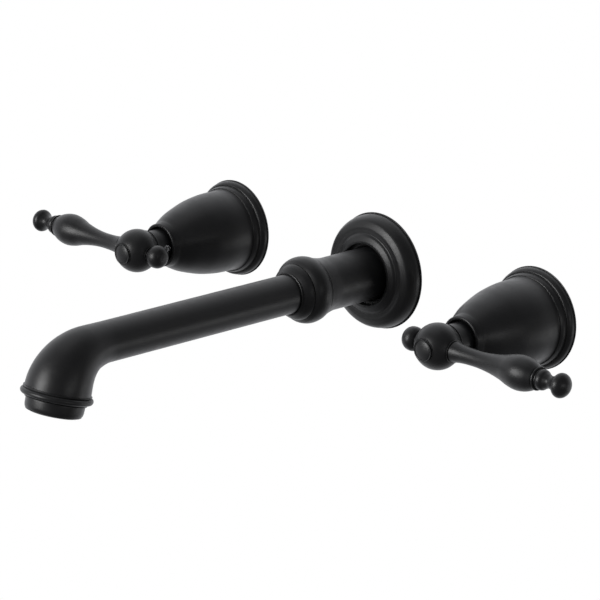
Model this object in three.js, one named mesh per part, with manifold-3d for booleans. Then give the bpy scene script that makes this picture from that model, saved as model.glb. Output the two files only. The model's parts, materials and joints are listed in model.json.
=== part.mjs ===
// Wall-mounted bath faucet: two lever handles and a fixed spout over a brass rough-in.
// Millimetres, +Z up. The origin is on the finished wall, at the centre of the spout.
// The wall is the plane Y = 0. The spout points to -Y and the rough-in is on the +Y side.
// Hot is on -X and cold on +X. Turned pieces are drawn as [radius, distance out from the wall].
import * as THREE from 'three';
import { mergeVertices } from 'three/addons/utils/BufferGeometryUtils.js';
import Module from 'manifold-3d';

const wasm = await Module();
wasm.setup();

// ---- Driving dimensions -------------------------------------------------------------------
const HANDLE_SPACING = 254; // between the two handle axes
const GAP = 0.3; // kept between pieces that touch
const COARSE = 16; // sides of large turned pieces
const FINE = 12; // sides of small turned pieces

const BELL_LENGTH = 64.6;
const BELL_RIM_RADIUS = 30.1;
const SLEEVE_RADIUS = 15.6;

const BALL_RADIUS = 13.5;
const BALL_OUT = 83.65; // centre of the handle's ball
const NECK_RADIUS = 10.2;
const NECK_BACK = 54;
const STEM_RADIUS = 4;
const ADAPTER_RADIUS = 6.5;
const BUTTON_RADIUS = 6.2;
const STUD_RADIUS = 2.95;
const STUD_INNER_END = 7.8; // how near the handle axis a stud ends
const SET_SCREW_OUT = 68.1;
const SET_SCREW_RADIUS = 2.3;

const FLANGE_RADIUS = 35.2;
const FLANGE_HOLE_RADIUS = 17.6;
const FLANGE_MOUTH_RADIUS = 19.4; // the hole's wider front, which leaves a gap round the shank
const SHANK_RADIUS = 16.1;
const SHANK_LIP_OUT = 77;
const TUBE_RADIUS = 11.85;
const TUBE_WALL = 2.2;
const TUBE_BACK = 48.5;
const BEND_START = 219.8;
const EASE_RADIUS = 72; // gentle start of the bend
const EASE_ANGLE = THREE.MathUtils.degToRad(10.6);
const BEND_RADIUS = 27.7;
const BEND_ANGLE = THREE.MathUtils.degToRad(64.4);
const OUTLET_RADIUS = 18.9; // the spout grows to this at its outlet

const VALVE_BACK = -77.7; // back of the valve bodies, behind the wall
const INLET_OUT = -64.5; // axis of the supply inlets
const CROSS_OUT = -41; // axis of the cross tubes
const INLET_LENGTH = 46;
const STUB_END = 38; // outlet stub, from the valve axis towards the centre
const TEE_HALF_LENGTH = 26;
const STRAP_LENGTH = 330;
const STRAP_HEIGHT = 26;
const STRAP_THICKNESS = 3;
const STRAP_BACK = VALVE_BACK - GAP - STRAP_THICKNESS;
const STRAP_SCREW_OFFSET = 12.5;
const STRAP_SCREW_HEIGHT = 6;

// ---- Finishes -----------------------------------------------------------------------------
const finish = (color, roughness, metalness) =>
  new THREE.MeshStandardMaterial({ color, roughness, metalness });
const FINISHES = {
  black: () => finish(0x1c1c1e, 0.42, 0.55),
  brass: () => finish(0xb8954f, 0.35, 0.9),
  steel: () => finish(0xa9acae, 0.35, 0.9),
  ceramic: () => finish(0xe6e2d8, 0.25, 0),
  rubber: () => finish(0x151515, 0.8, 0),
  plastic: () => finish(0xd9d9d4, 0.5, 0),
};

// ---- Solids -------------------------------------------------------------------------------
function signedVolume(position, index) {
  const corners = [new THREE.Vector3(), new THREE.Vector3(), new THREE.Vector3()];
  let total = 0;
  for (let i = 0; i < index.length; i += 3) {
    corners.forEach((corner, k) => corner.fromBufferAttribute(position, index[i + k]));
    total += corners[0].dot(corners[1].clone().cross(corners[2])) / 6;
  }
  return total;
}

// Shares the vertices, drops the empty triangles at a pole and turns the faces outwards.
function closed(geometry) {
  geometry.deleteAttribute('normal');
  geometry.deleteAttribute('uv');
  const merged = mergeVertices(geometry, 1e-4);
  const all = merged.index.array;
  const index = [];
  for (let i = 0; i < all.length; i += 3) {
    const [a, b, c] = [all[i], all[i + 1], all[i + 2]];
    if (a !== b && b !== c && c !== a) index.push(a, b, c);
  }
  if (signedVolume(merged.attributes.position, index) < 0) index.reverse();
  merged.setIndex(index);
  return merged;
}

function toManifold(geometry) {
  const shared = closed(geometry);
  return new wasm.Manifold(new wasm.Mesh({
    numProp: 3,
    vertProperties: new Float32Array(shared.attributes.position.array),
    triVerts: new Uint32Array(shared.index.array),
  }));
}

function toGeometry(manifold) {
  const mesh = manifold.getMesh();
  const geometry = new THREE.BufferGeometry();
  geometry.setAttribute('position', new THREE.BufferAttribute(mesh.vertProperties, 3));
  geometry.setIndex(new THREE.BufferAttribute(mesh.triVerts, 1));
  return geometry;
}

const joined = (...pieces) => pieces.map(toManifold).reduce((sum, piece) => sum.add(piece));
const cut = (base, ...tools) =>
  toGeometry(tools.reduce((left, tool) => left.subtract(toManifold(tool)), base));

// A piece turned about the wall's normal. Its outline ends on the axis or closes on itself.
function turned(outline, sides = COARSE) {
  const points = outline.map(([radius, out]) => new THREE.Vector2(radius, -out));
  return closed(new THREE.LatheGeometry(points, sides));
}

const ring = (outline, sides) => turned([...outline, outline[0]], sides);

const tube = (outer, inner, back, front, sides) =>
  ring([[outer, back], [outer, front], [inner, front], [inner, back]], sides);

// A round bar between two points.
function bar(radius, start, end, sides = FINE) {
  const from = new THREE.Vector3(...start);
  const along = new THREE.Vector3(...end).sub(from);
  const geometry = new THREE.CylinderGeometry(radius, radius, along.length(), sides);
  geometry.translate(0, along.length() / 2, 0);
  const turn = new THREE.Quaternion();
  turn.setFromUnitVectors(new THREE.Vector3(0, 1, 0), along.normalize());
  geometry.applyQuaternion(turn);
  return geometry.translate(from.x, from.y, from.z);
}

// A bar along the wall's normal, between two distances out from the wall.
const barOut = (radius, back, front, x = 0, z = 0, sides = COARSE) =>
  bar(radius, [x, -back, z], [x, -front, z], sides);

const smooth = (points, divisions) =>
  new THREE.SplineCurve(points.map(([x, y]) => new THREE.Vector2(x, y)))
    .getPoints(divisions).map((point) => [point.x, point.y]);

function arc(radius, centre, startAngle, endAngle, divisions) {
  const points = [];
  for (let i = 0; i <= divisions; i += 1) {
    const angle = startAngle + ((endAngle - startAngle) * i) / divisions;
    points.push([radius * Math.sin(angle), centre + radius * Math.cos(angle)]);
  }
  return points;
}

function mesh(name, geometry, material) {
  const piece = new THREE.Mesh(geometry, FINISHES[material]());
  piece.name = name;
  return piece;
}

// ---- Escutcheon: bell, gasket and threaded sleeve ------------------------------------------
function bell() {
  const rim = [[BELL_RIM_RADIUS, 0], [BELL_RIM_RADIUS, 2.4], [28.5, 5.1]];
  const mouldings = [[27.7, 5.5], [27.5, 7.2], [26.7, 9.1]];
  const wall = smooth([[25.8, 10], [25.6, 20], [24.6, 30], [22.5, 40], [19.3, 50], [14.4, 59.5]], 6);
  const mouth = [[13.3, 62.7], [12.2, BELL_LENGTH], [11.9, BELL_LENGTH - 0.4], [11.9, 52]];
  const threadedHub = [[SLEEVE_RADIUS + 0.5, 51], [SLEEVE_RADIUS + 0.5, 38], [21, 37]];
  const hollow = [[23.2, 27], [23.2, 5], [27.2, 5], [27.2, 0]];
  return ring([...rim, ...mouldings, ...wall, ...mouth, ...threadedHub, ...hollow]);
}

const wallGasket = () => tube(26.8, 23.8, 0, 5 - GAP);

const sleeve = () => tube(SLEEVE_RADIUS, 13.6, -27.7, 44);

// ---- Valve: body, cartridge and its seals --------------------------------------------------
function valveBody(side) {
  const shell = joined(
    barOut(18, VALVE_BACK, -28),
    barOut(13.2, -30, -14),
    bar(12.5, [0, -INLET_OUT, 0], [0, -INLET_OUT, -INLET_LENGTH], COARSE),
    bar(10, [0, -CROSS_OUT, 0], [-side * STUB_END, -CROSS_OUT, 0], COARSE),
  );
  const screwHoles = [-1, 1].map((k) =>
    barOut(2.6, VALVE_BACK - 1, -69.7, k * STRAP_SCREW_OFFSET, STRAP_SCREW_HEIGHT, FINE));
  return cut(
    shell,
    barOut(10.9, -57, -13),
    barOut(5, INLET_OUT, -56, 0, 0, FINE),
    bar(6.5, [0, -INLET_OUT, 1], [0, -INLET_OUT, -INLET_LENGTH], COARSE),
    bar(9.2, [0, -INLET_OUT, 16 - INLET_LENGTH], [0, -INLET_OUT, -INLET_LENGTH - 1], COARSE),
    bar(6.5, [-side * 8, -CROSS_OUT, 0], [-side * (STUB_END + 1), -CROSS_OUT, 0], COARSE),
    ...screwHoles,
  );
}

// The housing's window lets water out to the cross tube.
function cartridgeHousing() {
  const shell = ring([
    [9, 0], [9, -14.3], [10.5, -14.3], [10.5, -56],
    [8.9, -56], [8.9, -36], [4.6, -36], [4.6, 0],
  ]);
  return cut(toManifold(shell), bar(3, [-12, -CROSS_OUT, 0], [12, -CROSS_OUT, 0]));
}

// The stem has a groove for its o-ring, a plate at the back and a key that turns the disc.
function cartridgeStem() {
  return turned([
    [0, 30], [STEM_RADIUS, 30], [STEM_RADIUS, -7], [2.9, -7], [2.9, -9.4], [STEM_RADIUS, -9.4],
    [STEM_RADIUS, -36.3], [8.2, -36.3], [8.2, -38.3], [3, -38.3], [3, -47], [0, -47],
  ], FINE);
}

const stemRing = () => tube(4.15, 3.25, -9.1, -7.3, FINE);

function movingDisc() {
  const socket = barOut(3.4, -49, -44, 0, 0, FINE);
  const ports = [-1, 1].map((k) => barOut(1.8, -49, -44, 6 * k, 0, FINE));
  return cut(toManifold(barOut(8.4, -48.3, -45)), socket, ...ports);
}

function fixedDisc() {
  const ports = [-1, 1].map((k) => barOut(1.8, -53, -48, 0, 6 * k, FINE));
  return cut(toManifold(barOut(8.4, -51.8, -48.6)), ...ports);
}

const seatSeal = () => tube(8.3, 4, -56.7, -52.1, FINE);

function bonnetNut() {
  const hexagon = barOut(12.7, -13.7, -3, 0, 0, 6);
  return cut(toManifold(hexagon), barOut(9.35, -15, -2));
}

// ---- Handle: adapter, hub, lever, finial, button and screws --------------------------------
function stemAdapter() {
  return ring([
    [ADAPTER_RADIUS, 10], [ADAPTER_RADIUS, 76.6], [2.5, 76.6], [2.5, 64], [1.2, 63],
    [1.2, 32], [4.5, 31], [4.5, 10],
  ], FINE);
}

function handleHub(side) {
  const recess = BUTTON_RADIUS + 0.4;
  const collar = 11.2;
  const ballStart = Math.asin(recess / BALL_RADIUS);
  const ballEnd = Math.PI - Math.asin(collar / BALL_RADIUS);
  const shell = ring([
    ...arc(BALL_RADIUS, BALL_OUT, ballStart, ballEnd, 6),
    [collar, 75.1], [NECK_RADIUS, 74.6], [NECK_RADIUS, NECK_BACK],
    [7, NECK_BACK], [7, 77], [2.5, 77], [2.5, 88.3], [4.6, 88.3], [4.6, 92.6], [recess, 92.6],
  ]);
  const socket = (way, seat, seatRadius) => [
    bar(seatRadius, [way * seat, -BALL_OUT, 0], [way * 20, -BALL_OUT, 0], COARSE),
    bar(STUD_RADIUS + 0.4, [way * 7.4, -BALL_OUT, 0], [way * 14, -BALL_OUT, 0]),
  ];
  return cut(
    toManifold(shell),
    ...socket(side, 12.2, 6.3),
    ...socket(-side, 12.7, 4.8),
    bar(SET_SCREW_RADIUS + GAP, [-side * 6, -SET_SCREW_OUT, 0], [-side * 12, -SET_SCREW_OUT, 0]),
  );
}

// Lever and finial are drawn as [radius, distance from the handle axis].
function lever() {
  const grip = smooth([
    [5.95, 12.5], [5.05, 20], [4.73, 29], [5.77, 42], [8.5, 54], [10, 62], [8.5, 70], [5.9, 75],
  ], 11);
  const bead = [[5.2, 76], [5.9, 78], [4.7, 80.5]];
  const cap = smooth([[3.65, 83.7], [4.4, 87], [6.9, 90.6], [5.8, 93.5], [0, 96.5]], 7);
  return turned([[0, STUD_INNER_END], [STUD_RADIUS, STUD_INNER_END], [STUD_RADIUS, 12.5],
    ...grip, ...bead, ...cap.slice(0, -1), [0, 96.5]].map(([r, u]) => [r, -u]), FINE);
}

function finial() {
  const seat = 13;
  const knob = smooth([[4.4, seat], [4.3, 14.3], [6.6, 16], [7.1, 18.9], [6, 22.2], [0, 24.3]], 8);
  return turned([[0, STUD_INNER_END], [STUD_RADIUS, STUD_INNER_END], [STUD_RADIUS, seat],
    ...knob.slice(0, -1), [0, 24.3]].map(([r, u]) => [r, -u]), FINE);
}

const indexButton = () => turned([
  [0, 97.1], [3.6, 96.7], [BUTTON_RADIUS, 95.6], [BUTTON_RADIUS, 92.9], [0, 92.9]]);

// The screw that clamps the hub to the adapter has a hexagon socket in its head.
function handleScrew() {
  const blank = turned([[0, 91.8], [4.2, 91.8], [4.2, 88.6], [2.1, 88.6], [2.1, 66], [0, 66]], FINE);
  return cut(toManifold(blank), barOut(2, 89.6, 93, 0, 0, 6));
}

function setScrew(side) {
  const start = [-side * 6.9, -SET_SCREW_OUT, 0];
  const blank = bar(SET_SCREW_RADIUS, start, [-side * 9.9, -SET_SCREW_OUT, 0]);
  const socket = bar(1.2, [-side * 8.2, -SET_SCREW_OUT, 0], [-side * 11, -SET_SCREW_OUT, 0], 6);
  return cut(toManifold(blank), socket);
}

// ---- One side of the faucet ----------------------------------------------------------------
function valveAndHandle(name, side) {
  const group = new THREE.Group();
  group.position.x = (side * HANDLE_SPACING) / 2;
  group.add(
    mesh(`${name}_valve_body`, valveBody(side), 'brass'),
    mesh(`${name}_cartridge_housing`, cartridgeHousing(), 'brass'),
    mesh(`${name}_cartridge_stem`, cartridgeStem(), 'brass'),
    mesh(`${name}_stem_o_ring`, stemRing(), 'rubber'),
    mesh(`${name}_moving_disc`, movingDisc(), 'ceramic'),
    mesh(`${name}_fixed_disc`, fixedDisc(), 'ceramic'),
    mesh(`${name}_seat_seal`, seatSeal(), 'rubber'),
    mesh(`${name}_bonnet_nut`, bonnetNut(), 'brass'),
    mesh(`${name}_escutcheon_sleeve`, sleeve(), 'brass'),
    mesh(`${name}_escutcheon_bell`, bell(), 'black'),
    mesh(`${name}_wall_gasket`, wallGasket(), 'rubber'),
    mesh(`${name}_stem_adapter`, stemAdapter(), 'brass'),
    mesh(`${name}_handle_hub`, handleHub(side), 'black'),
    mesh(`${name}_index_button`, indexButton(), 'black'),
    mesh(`${name}_handle_screw`, handleScrew(), 'steel'),
    mesh(`${name}_set_screw`, setScrew(side), 'steel'),
  );
  const leverMesh = mesh(`${name}_lever`, lever(), 'black');
  leverMesh.position.y = -BALL_OUT;
  leverMesh.rotation.z = (-side * Math.PI) / 2;
  const finialMesh = mesh(`${name}_finial`, finial(), 'black');
  finialMesh.position.y = -BALL_OUT;
  finialMesh.rotation.z = (side * Math.PI) / 2;
  group.add(leverMesh, finialMesh);
  return group;
}

// ---- Spout ---------------------------------------------------------------------------------
// The flange's face is a dome, a shallow groove and a raised bead round the hole's mouth.
function spoutFlange() {
  const hole = FLANGE_HOLE_RADIUS;
  const mouth = [[FLANGE_MOUTH_RADIUS, 12.9], [FLANGE_MOUTH_RADIUS, 9], [hole, 8.8]];
  const dome = smooth([[FLANGE_RADIUS, 3], [34.3, 6.6], [32, 9.6], [28.5, 10.9]], 4);
  const face = [[25.8, 10.9], [25.1, 10.7], [23.6, 12], [20.4, 13.2], ...mouth];
  const grooveForRing = [[hole, 7], [19.3, 7], [19.3, 2.7], [hole, 2.7], [hole, 0]];
  const back = [[21.5, 0], [21.5, 6.5], [29, 6.5], [31.4, 3], [31.4, 0]];
  return ring([[FLANGE_RADIUS, 0], ...dome, ...face, ...grooveForRing, ...back]);
}

const flangeRing = () => tube(18.9, SHANK_RADIUS + 0.35, 3.1, 6.6);

// The shank flares to a bulb, and a smaller round moulding ends it where the tube goes in.
function spoutShank() {
  const flare = smooth([[SHANK_RADIUS, 46], [17.3, 52.5], [18.7, 58]], 3);
  const bulb = smooth([[19.1, 58.7], [20.1, 62], [20.1, 65.5], [19, 68.8], [16.7, 70.9]], 6);
  const nose = smooth([[16.5, 71.8], [15.4, 74.2], [12.8, SHANK_LIP_OUT]], 3);
  const socket = TUBE_RADIUS + GAP;
  return ring([
    [SHANK_RADIUS, 1], ...flare, ...bulb, ...nose,
    [socket, SHANK_LIP_OUT], [socket, TUBE_BACK - GAP], [8, TUBE_BACK - GAP],
    [8, 34], [10.7, 34], [10.7, 1],
  ]);
}

// Where the spout's centre line is, and how far it has turned down, at a distance along it.
function spoutLine(distance) {
  const easeLength = EASE_RADIUS * EASE_ANGLE;
  const past = Math.max(distance - BEND_START, 0);
  const ease = Math.min(past, easeLength) / EASE_RADIUS;
  const bend = Math.max(past - easeLength, 0) / BEND_RADIUS;
  const angle = ease + bend;
  const out = Math.min(distance, BEND_START) + EASE_RADIUS * Math.sin(ease)
    + BEND_RADIUS * (Math.sin(angle) - Math.sin(ease));
  const drop = EASE_RADIUS * (1 - Math.cos(ease)) + BEND_RADIUS * (Math.cos(ease) - Math.cos(angle));
  return { out, drop, angle };
}

const BEND_LENGTH = EASE_RADIUS * EASE_ANGLE + BEND_RADIUS * BEND_ANGLE;
const SPOUT_LENGTH = BEND_START + BEND_LENGTH;

function spoutRadius(distance) {
  const share = THREE.MathUtils.smoothstep(distance, BEND_START, SPOUT_LENGTH);
  return TUBE_RADIUS + (OUTLET_RADIUS - TUBE_RADIUS) * share;
}

// The tube is turned straight and then bent along the spout's centre line.
function spoutTube() {
  const divisions = 8;
  const stations = [TUBE_BACK];
  for (let i = 0; i <= divisions; i += 1) {
    stations.push(BEND_START + (BEND_LENGTH * i) / divisions);
  }
  const outside = stations.map((distance) => [spoutRadius(distance), distance]);
  const inside = outside.map(([radius, distance]) => [radius - TUBE_WALL, distance]).reverse();
  const straight = ring([...outside, ...inside]);
  const position = straight.attributes.position;
  for (let i = 0; i < position.count; i += 1) {
    const { out, drop, angle } = spoutLine(-position.getY(i));
    const height = position.getZ(i);
    const y = -out - height * Math.sin(angle);
    position.setXYZ(i, position.getX(i), y, -drop + height * Math.cos(angle));
  }
  return straight;
}

// Outlet pieces are drawn as [radius, distance past the end of the spout tube].
function outletCollar() {
  const bead = smooth([[18.9, GAP], [20.7, 1.2], [20.7, 3.4], [18.9, 4.4]], 4);
  return ring([
    [15.4, -5], [15.4, GAP], ...bead, [16.7, 4.5], [16.6, 10.8], [15.4, 12.4], [14, 12.4],
    [13.4, 11.6], [13.4, 2.6], [11.6, 2.6], [11.6, -5],
  ]);
}

const outletWasher = () => tube(13.1, 10.8, 2.9, 4.5);

// A disc of holes calms the stream.
function flowStraightener() {
  const holes = [[0, 0]];
  for (let i = 0; i < 6; i += 1) {
    const angle = (i * Math.PI) / 3;
    holes.push([7.4 * Math.cos(angle), 7.4 * Math.sin(angle)]);
  }
  const disc = barOut(13, 4.8, 10.6);
  return cut(toManifold(disc), ...holes.map(([x, z]) => barOut(2.7, 4, 12, x, z, 6)));
}

function spout() {
  const group = new THREE.Group();
  const outlet = new THREE.Group();
  const { out, drop, angle } = spoutLine(SPOUT_LENGTH);
  outlet.position.set(0, -out, -drop);
  outlet.rotation.x = angle;
  outlet.add(
    mesh('outlet_collar', outletCollar(), 'black'),
    mesh('outlet_washer', outletWasher(), 'rubber'),
    mesh('flow_straightener', flowStraightener(), 'plastic'),
  );
  group.add(
    mesh('spout_flange', spoutFlange(), 'black'),
    mesh('flange_o_ring', flangeRing(), 'rubber'),
    mesh('spout_shank', spoutShank(), 'black'),
    mesh('spout_tube', spoutTube(), 'black'),
    outlet,
  );
  return group;
}

// ---- Rough-in between the valves -----------------------------------------------------------
function centreTee() {
  const y = -CROSS_OUT;
  const shell = joined(
    bar(12, [-TEE_HALF_LENGTH, y, 0], [TEE_HALF_LENGTH, y, 0], COARSE),
    barOut(13.5, CROSS_OUT, -14),
  );
  const sockets = [-1, 1].map((k) =>
    bar(8.4, [k * 13, y, 0], [k * (TEE_HALF_LENGTH + 1), y, 0]));
  return cut(
    shell,
    ...sockets,
    bar(6.5, [-14, y, 0], [14, y, 0]),
    barOut(7, CROSS_OUT, -34),
    barOut(10.8, -35, -13),
  );
}

const spoutNipple = () => tube(10.3, 8, -34.6, 33.6);

// The cross tube's collar is trapped by the union nut against the valve's outlet stub.
function crossTube(side) {
  const stub = HANDLE_SPACING / 2 - STUB_END;
  const outline = [[8, 13.4], [8, stub - 4.5], [9.9, stub - 4.5], [9.9, stub - GAP],
    [6.6, stub - GAP], [6.6, 13.4]];
  const piece = mesh(side < 0 ? 'hot_cross_tube' : 'cold_cross_tube', ring(outline), 'brass');
  piece.position.y = -CROSS_OUT;
  piece.rotation.z = (side * Math.PI) / 2;
  return piece;
}

function unionNut(side) {
  const stub = HANDLE_SPACING / 2 - STUB_END;
  const y = -CROSS_OUT;
  const at = (distance) => [side * distance, y, 0];
  const hexagon = bar(15.5, at(stub - 11), at(stub + 7), 6);
  return cut(
    toManifold(hexagon),
    bar(8.4, at(stub - 12), at(stub), COARSE),
    bar(10.5, at(stub - 4.9), at(stub + 8), COARSE),
  );
}

function mountingStrap() {
  const strap = new THREE.BoxGeometry(STRAP_LENGTH, STRAP_THICKNESS, STRAP_HEIGHT);
  strap.translate(0, -STRAP_BACK - STRAP_THICKNESS / 2, 0);
  const hole = (radius, x, z) => barOut(radius, VALVE_BACK - 5, VALVE_BACK + 1, x, z, FINE);
  const wallHoles = [-155, -60, 60, 155].map((x) => hole(3, x, 0));
  const valveHoles = strapScrewPlaces().map((x) => hole(2.6, x, STRAP_SCREW_HEIGHT));
  const countersinks = strapScrewPlaces().map((x) => turned([
    [0, STRAP_BACK - 1], [6.2, STRAP_BACK - 1], [2.6, STRAP_BACK + 2.6], [0, STRAP_BACK + 2.6],
  ], FINE).translate(x, 0, STRAP_SCREW_HEIGHT));
  return cut(toManifold(strap), ...wallHoles, ...valveHoles, ...countersinks);
}

const strapScrewPlaces = () => [-1, 1].flatMap((side) =>
  [-1, 1].map((k) => (side * HANDLE_SPACING) / 2 + k * STRAP_SCREW_OFFSET));

// The strap's screws are countersunk, so that its back lies flat on the framing.
function strapScrew() {
  const back = STRAP_BACK + 0.2;
  const blank = turned([
    [0, back], [4.6, back], [2.2, back + 2.4], [2.2, -71], [0, -71]], FINE);
  return cut(toManifold(blank), barOut(1.9, back - 1, back + 1.5, 0, 0, 6));
}

function roughIn() {
  const group = new THREE.Group();
  group.add(
    mesh('center_tee', centreTee(), 'brass'),
    mesh('spout_nipple', spoutNipple(), 'brass'),
    mesh('mounting_strap', mountingStrap(), 'steel'),
    crossTube(-1),
    crossTube(1),
    mesh('hot_union_nut', unionNut(-1), 'brass'),
    mesh('cold_union_nut', unionNut(1), 'brass'),
  );
  strapScrewPlaces().forEach((x, i) => {
    const screw = mesh(`strap_screw_${i + 1}`, strapScrew(), 'steel');
    screw.position.set(x, 0, STRAP_SCREW_HEIGHT);
    group.add(screw);
  });
  return group;
}

const faucet = new THREE.Group();
faucet.add(valveAndHandle('hot', -1), valveAndHandle('cold', 1), spout(), roughIn());
export default faucet;
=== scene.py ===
"""Looks of the wall-mounted bath faucet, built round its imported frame.

Objects are in metres, in the row's frame. Outlines are in millimetres: [radius, distance out from
the wall], or the distance from the handle axis on levers and finials. A third value rounds the
corner.
"""
import json
import math

import bmesh
import bpy
from mathutils import Matrix, Vector


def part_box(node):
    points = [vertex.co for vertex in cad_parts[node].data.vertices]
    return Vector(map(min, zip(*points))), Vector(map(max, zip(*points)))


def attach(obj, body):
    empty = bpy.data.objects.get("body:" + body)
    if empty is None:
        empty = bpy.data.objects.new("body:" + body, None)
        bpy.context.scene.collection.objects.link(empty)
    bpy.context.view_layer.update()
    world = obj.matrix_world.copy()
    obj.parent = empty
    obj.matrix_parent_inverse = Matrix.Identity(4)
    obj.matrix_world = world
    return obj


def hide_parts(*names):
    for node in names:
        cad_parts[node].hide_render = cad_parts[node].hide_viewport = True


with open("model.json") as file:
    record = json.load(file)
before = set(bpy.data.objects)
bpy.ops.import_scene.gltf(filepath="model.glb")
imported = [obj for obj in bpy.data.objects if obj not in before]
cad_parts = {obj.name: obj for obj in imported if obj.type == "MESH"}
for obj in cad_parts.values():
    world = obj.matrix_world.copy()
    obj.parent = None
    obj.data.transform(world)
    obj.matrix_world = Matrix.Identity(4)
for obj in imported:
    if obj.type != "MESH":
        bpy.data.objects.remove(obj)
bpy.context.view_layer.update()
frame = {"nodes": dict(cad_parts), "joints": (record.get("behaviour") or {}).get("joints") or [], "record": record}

MM = 0.001
GAP = 0.3  # seam between pieces that touch
SIDES = {"hot": -1, "cold": 1}
record = frame["record"]
BODY_OF = {n: body for body, names in record["behaviour"]["bodies"].items() for n in names}
SLOT_OF = {part["node"]: part["material_slot"] for part in record["subparts"]}
AXIS_X = {j["child"].split("_")[0]: j["pos_m"][0] for j in frame["joints"]}


# ---- Camera, stage and light ----------------------------------------------------------------
AZIMUTH, ELEVATION, ROLL = (math.radians(a) for a in (45.05, 16.9, 1.39))
LENS = 179.75
DISTANCE = 1.8805
TARGET = Vector((-0.0674, 0.0003, -0.0346))
WHITE = (1, 1, 1, 1)


def toward_camera():
    """Direction from the object to the camera, and the camera's own right and up."""
    back = Vector((
        math.sin(AZIMUTH) * math.cos(ELEVATION),
        -math.cos(AZIMUTH) * math.cos(ELEVATION),
        math.sin(ELEVATION),
    ))
    right = Vector((math.cos(AZIMUTH), math.sin(AZIMUTH), 0))
    up = back.cross(right)
    c, s = math.cos(ROLL), math.sin(ROLL)
    return back, right * c + up * s, up * c - right * s


def make_camera():
    back, right, up = toward_camera()
    data = bpy.data.cameras.new("camera")
    data.lens = LENS
    data.sensor_width = 36
    data.clip_start = 0.05
    camera = bpy.data.objects.new("camera", data)
    bpy.context.scene.collection.objects.link(camera)
    turn = Matrix((right, up, back)).transposed().to_4x4()
    camera.matrix_world = Matrix.Translation(TARGET + back * DISTANCE) @ turn
    bpy.context.scene.camera = camera


def stage_plane(name, size, matrix, material):
    mesh = bpy.data.meshes.new(name)
    x, y = size[0] / 2, size[1] / 2
    mesh.from_pydata([(-x, -y, 0), (x, -y, 0), (x, y, 0), (-x, y, 0)], [], [(0, 1, 2, 3)])
    plane = bpy.data.objects.new(name, mesh)
    plane.matrix_world = matrix
    bpy.context.scene.collection.objects.link(plane)
    mesh.materials.append(material)
    return plane


def wall_material():
    """Plain white in front. From behind it lets the view through to the faucet."""
    material, nodes, links = empty_material("studio_wall")
    output = nodes.new("ShaderNodeOutputMaterial")
    mix = nodes.new("ShaderNodeMixShader")
    glow = nodes.new("ShaderNodeEmission")
    clear = nodes.new("ShaderNodeBsdfTransparent")
    side = nodes.new("ShaderNodeNewGeometry")
    glow.inputs["Color"].default_value = WHITE
    links.new(side.outputs["Backfacing"], mix.inputs[0])
    links.new(glow.outputs[0], mix.inputs[1])
    links.new(clear.outputs[0], mix.inputs[2])
    links.new(mix.outputs[0], output.inputs["Surface"])
    return material


def floor_material():
    material, nodes, links = empty_material("studio_floor")
    output = nodes.new("ShaderNodeOutputMaterial")
    paint = nodes.new("ShaderNodeBsdfDiffuse")
    glow = nodes.new("ShaderNodeEmission")
    both = nodes.new("ShaderNodeAddShader")
    paint.inputs["Color"].default_value = (0.8, 0.8, 0.8, 1)
    glow.inputs["Color"].default_value = WHITE
    glow.inputs["Strength"].default_value = 0.75
    links.new(paint.outputs[0], both.inputs[0])
    links.new(glow.outputs[0], both.inputs[1])
    links.new(both.outputs[0], output.inputs["Surface"])
    return material


def make_stage():
    """A white wall that only the camera sees, and a pale floor well below the faucet."""
    upright = Matrix.Rotation(math.pi / 2, 4, "X")
    wall = stage_plane("studio_wall", (3, 2), Matrix.Translation((0, 0.0005, 0.4)) @ upright,
                       wall_material())
    floor = stage_plane("studio_floor", (40, 40), Matrix.Translation((0, 0, -0.6)),
                        floor_material())
    for plane in (wall, floor):
        plane.visible_shadow = False
        plane.visible_diffuse = False
        plane.visible_glossy = False


def direction(azimuth, elevation):
    """Unit vector to a place round the faucet. Azimuth is from the front, to the right."""
    a, e = math.radians(azimuth), math.radians(elevation)
    return Vector((math.sin(a) * math.cos(e), -math.cos(a) * math.cos(e), math.sin(e)))


def softbox(name, azimuth, elevation, distance, size, brightness):
    """A rectangular lamp that faces the faucet."""
    data = bpy.data.lights.new(name, "AREA")
    data.shape = "RECTANGLE"
    data.size, data.size_y = size
    data.energy = brightness * math.pi * size[0] * size[1]
    lamp = bpy.data.objects.new(name, data)
    toward = direction(azimuth, elevation)
    lamp.location = toward * distance
    lamp.rotation_mode = "QUATERNION"
    lamp.rotation_quaternion = toward.to_track_quat("Z", "Y")
    lamp.visible_camera = False
    bpy.context.scene.collection.objects.link(lamp)


def make_lights():
    softbox("softbox_front", -14, 15, 2.5, (1.25, 1.3), 7.4)
    softbox("softbox_right", 86, 5, 2.5, (1.3, 0.5), 1.6)
    softbox("softbox_behind", 152, -5, 2.5, (2.2, 2.2), 0.2)
    softbox("softbox_low", 133, -17, 2.4, (0.75, 0.75), 1.3)
    softbox("softbox_above", -40, 80, 2.5, (1.6, 1.6), 0.3)


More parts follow.
